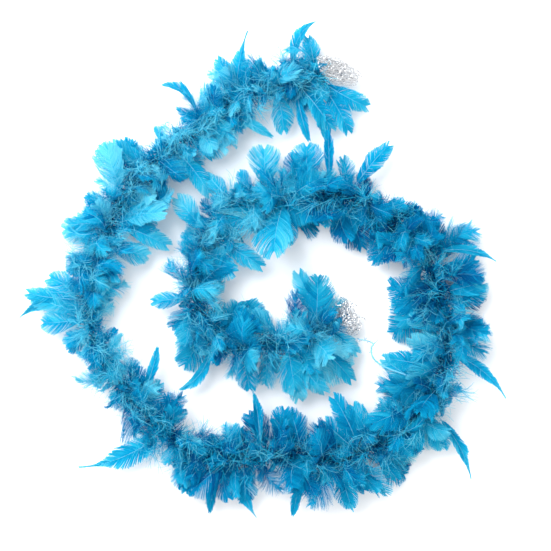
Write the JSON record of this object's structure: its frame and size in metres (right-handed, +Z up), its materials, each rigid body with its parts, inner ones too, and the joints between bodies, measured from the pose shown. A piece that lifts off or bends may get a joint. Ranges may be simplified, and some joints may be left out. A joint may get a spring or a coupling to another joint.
{
  "type": "feather boa",
  "caption": "Fluffy feather boa on a twisted core cord, laid in an inward spiral, with a tinsel tuft and knot at each end.",
  "frame": {"origin": "under the middle of the whole spiral, on the surface that the boa lies on", "axes": "+Z up from the surface; +Y from the middle of the spiral towards the outer end's side; +X to the right seen from above"},
  "size_m": [0.608, 0.62, 0.0591],
  "materials": {
    "feathers": "matte",
    "plumes": "matte",
    "core_cord": "matte",
    "binding_thread": "satin",
    "tinsel": "polished"
  },
  "bodies": {
    "main_run": {"feather_section_06": "feathers", "feather_section_07": "feathers", "feather_section_08": "feathers", "feather_section_09": "feathers", "feather_section_10": "feathers", "feather_section_11": "feathers", "feather_section_12": "feathers", "feather_section_13": "feathers", "feather_section_14": "feathers", "feather_section_15": "feathers", "feather_section_16": "feathers", "feather_section_17": "feathers", "feather_section_18": "feathers", "feather_section_19": "feathers", "feather_section_20": "feathers", "feather_section_21": "feathers", "core_cord_main": "core_cord", "plume_left_fan": "plumes", "plume_lower_left_drift": "plumes", "plume_bottom_point": "plumes", "plume_bottom_right_point": "plumes", "plume_lower_right_spike": "plumes", "plume_right_lower_point": "plumes", "plume_right_upper_point": "plumes"},
    "outer_run_1": {"feather_section_05": "feathers", "core_cord_outer_1": "core_cord"},
    "outer_run_2": {"feather_section_04": "feathers", "core_cord_outer_2": "core_cord"},
    "outer_run_3": {"feather_section_03": "feathers", "core_cord_outer_3": "core_cord", "plume_outer_left_curl": "plumes"},
    "outer_run_4": {"feather_section_02": "feathers", "core_cord_outer_4": "core_cord", "plume_outer_spike": "plumes"},
    "outer_run_5": {"feather_section_01": "feathers", "core_cord_outer_5": "core_cord", "plume_outer_curl": "plumes", "outer_end_knot": "core_cord", "outer_thread_binding": "binding_thread", "outer_tinsel_tuft": "tinsel"},
    "inner_run_1": {"feather_section_22": "feathers", "core_cord_inner_1": "core_cord", "plume_inner_low_curl": "plumes"},
    "inner_run_2": {"feather_section_23": "feathers", "core_cord_inner_2": "core_cord"},
    "inner_run_3": {"feather_section_24": "feathers", "core_cord_inner_3": "core_cord", "inner_end_knot": "core_cord", "inner_thread_binding": "binding_thread", "inner_tinsel_tuft": "tinsel"}
  },
  "joints": [
    {"name": "outer_lift_1", "type": "hinge", "parent": "main_run", "child": "outer_run_1", "pos_m": [-0.2005, 0.0239, 0.026], "axis": [0.9613, -0.2754, 0], "range_deg": [0, 45]},
    {"name": "outer_swing_1", "type": "hinge", "parent": "outer_run_1", "child": "outer_run_2", "pos_m": [-0.171, 0.092, 0.026], "axis": [0, 0, 1], "range_deg": [-8, 35]},
    {"name": "outer_lift_2", "type": "hinge", "parent": "outer_run_2", "child": "outer_run_3", "pos_m": [-0.1199, 0.1459, 0.026], "axis": [0.6475, -0.762, 0], "range_deg": [0, 45]},
    {"name": "outer_swing_2", "type": "hinge", "parent": "outer_run_3", "child": "outer_run_4", "pos_m": [-0.0616, 0.1922, 0.0261], "axis": [0, 0, 1], "range_deg": [-8, 35]},
    {"name": "outer_lift_3", "type": "hinge", "parent": "outer_run_4", "child": "outer_run_5", "pos_m": [0.0047, 0.2247, 0.0255], "axis": [0.2354, -0.9719, 0], "range_deg": [0, 45]},
    {"name": "inner_swing_1", "type": "hinge", "parent": "main_run", "child": "inner_run_1", "pos_m": [-0.0838, -0.0211, 0.026], "axis": [0, 0, 1], "range_deg": [-20, 20]},
    {"name": "inner_lift_1", "type": "hinge", "parent": "inner_run_1", "child": "inner_run_2", "pos_m": [-0.0529, -0.0857, 0.026], "axis": [-0.5559, -0.8312, 0], "range_deg": [0, 36]},
    {"name": "inner_lift_2", "type": "hinge", "parent": "inner_run_2", "child": "inner_run_3", "pos_m": [0.0202, -0.0918, 0.0255], "axis": [0.1095, -0.994, 0], "range_deg": [0, 45]}
  ]
}
